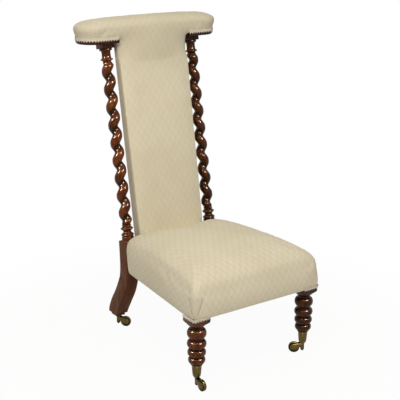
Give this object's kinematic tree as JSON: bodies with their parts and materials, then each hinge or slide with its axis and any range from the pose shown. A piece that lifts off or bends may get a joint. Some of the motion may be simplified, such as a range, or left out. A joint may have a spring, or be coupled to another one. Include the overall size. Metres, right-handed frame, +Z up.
{
  "type": "prie-dieu chair",
  "caption": "Low upholstered prie-dieu chair with twist columns, a padded arm rest on a tall raked back, and brass castors.",
  "frame": {"origin": "on the floor, at the middle of the overall box in plan", "axes": "+Z up, the chair faces -Y, its left as seen from the front is -X"},
  "size_m": [0.512, 0.666, 1.0022],
  "materials": {
    "polished_walnut": "french polished, dark red-brown, glossy",
    "beech": "plain, unpolished frame timber",
    "aged_brass": "aged, worn bright on the treads, dark in the recesses",
    "cream_damask": "cream woven damask with fine ribs and a small lozenge",
    "gimp_braid": "scalloped cream braid",
    "jute_webbing": "woven jute web",
    "hessian": "coarse hessian",
    "coppered_spring_steel": "coppered wire, dull",
    "black_lining": "plain black lining cloth"
  },
  "bodies": {
    "chair": {"back_bottom_rail": "beech", "back_outside_cover": "cream_damask", "back_pad": "cream_damask", "back_stile_left": "beech", "back_stile_right": "beech", "back_top_rail": "beech", "back_webbing_1": "jute_webbing", "back_webbing_2": "jute_webbing", "back_webbing_3": "jute_webbing", "castor_cup_front_left": "aged_brass", "castor_cup_front_right": "aged_brass", "castor_plate_rear_left": "aged_brass", "castor_plate_rear_right": "aged_brass", "front_leg_gimp_left": "gimp_braid", "front_leg_gimp_right": "gimp_braid", "front_leg_left": "polished_walnut", "front_leg_right": "polished_walnut", "front_seat_rail": "beech", "rear_leg_left": "polished_walnut", "rear_leg_right": "polished_walnut", "rear_seat_rail": "beech", "rest_board": "polished_walnut", "rest_gimp": "gimp_braid", "rest_pad": "cream_damask", "seat_cushion": "cream_damask", "seat_dust_cover": "black_lining", "seat_hessian": "hessian", "seat_spring_1": "coppered_spring_steel", "seat_spring_2": "coppered_spring_steel", "seat_spring_3": "coppered_spring_steel", "seat_spring_4": "coppered_spring_steel", "seat_spring_5": "coppered_spring_steel", "seat_webbing_cross_1": "jute_webbing", "seat_webbing_cross_2": "jute_webbing", "seat_webbing_cross_3": "jute_webbing", "seat_webbing_long_1": "jute_webbing", "seat_webbing_long_2": "jute_webbing", "seat_webbing_long_3": "jute_webbing", "side_seat_rail_left": "beech", "side_seat_rail_right": "beech", "twist_column_left": "polished_walnut", "twist_column_right": "polished_walnut"},
    "castor_front_left": {"castor_axle_front_left": "aged_brass", "castor_horn_front_left": "aged_brass"},
    "wheel_front_left": {"castor_wheel_front_left": "aged_brass"},
    "castor_front_right": {"castor_axle_front_right": "aged_brass", "castor_horn_front_right": "aged_brass"},
    "wheel_front_right": {"castor_wheel_front_right": "aged_brass"},
    "castor_rear_left": {"castor_axle_rear_left": "aged_brass", "castor_horn_rear_left": "aged_brass"},
    "wheel_rear_left": {"castor_wheel_rear_left": "aged_brass"},
    "castor_rear_right": {"castor_axle_rear_right": "aged_brass", "castor_horn_rear_right": "aged_brass"},
    "wheel_rear_right": {"castor_wheel_rear_right": "aged_brass"}
  },
  "joints": [
    {"name": "swivel_front_left", "type": "hinge", "parent": "chair", "child": "castor_front_left", "pos_m": [-0.202, -0.28945, 0.008], "axis": [0, 0, 1], "continuous": true},
    {"name": "roll_front_left", "type": "hinge", "parent": "castor_front_left", "child": "wheel_front_left", "pos_m": [-0.202, -0.31545, 0.0175], "axis": [1, 0, 0], "continuous": true},
    {"name": "swivel_front_right", "type": "hinge", "parent": "chair", "child": "castor_front_right", "pos_m": [0.202, -0.28945, 0.008], "axis": [0, 0, 1], "continuous": true},
    {"name": "roll_front_right", "type": "hinge", "parent": "castor_front_right", "child": "wheel_front_right", "pos_m": [0.18268, -0.27206, 0.0175], "axis": [-0.6691, -0.7431, 0], "continuous": true},
    {"name": "swivel_rear_left", "type": "hinge", "parent": "chair", "child": "castor_rear_left", "pos_m": [-0.159, 0.22175, 0.008], "axis": [0, 0, 1], "continuous": true},
    {"name": "roll_rear_left", "type": "hinge", "parent": "castor_rear_left", "child": "wheel_rear_left", "pos_m": [-0.14264, 0.20154, 0.0175], "axis": [0.7771, 0.6293, 0], "continuous": true},
    {"name": "swivel_rear_right", "type": "hinge", "parent": "chair", "child": "castor_rear_right", "pos_m": [0.159, 0.22175, 0.008], "axis": [0, 0, 1], "continuous": true},
    {"name": "roll_rear_right", "type": "hinge", "parent": "castor_rear_right", "child": "wheel_rear_right", "pos_m": [0.13457, 0.23064, 0.0175], "axis": [-0.342, -0.9397, 0], "continuous": true}
  ]
}
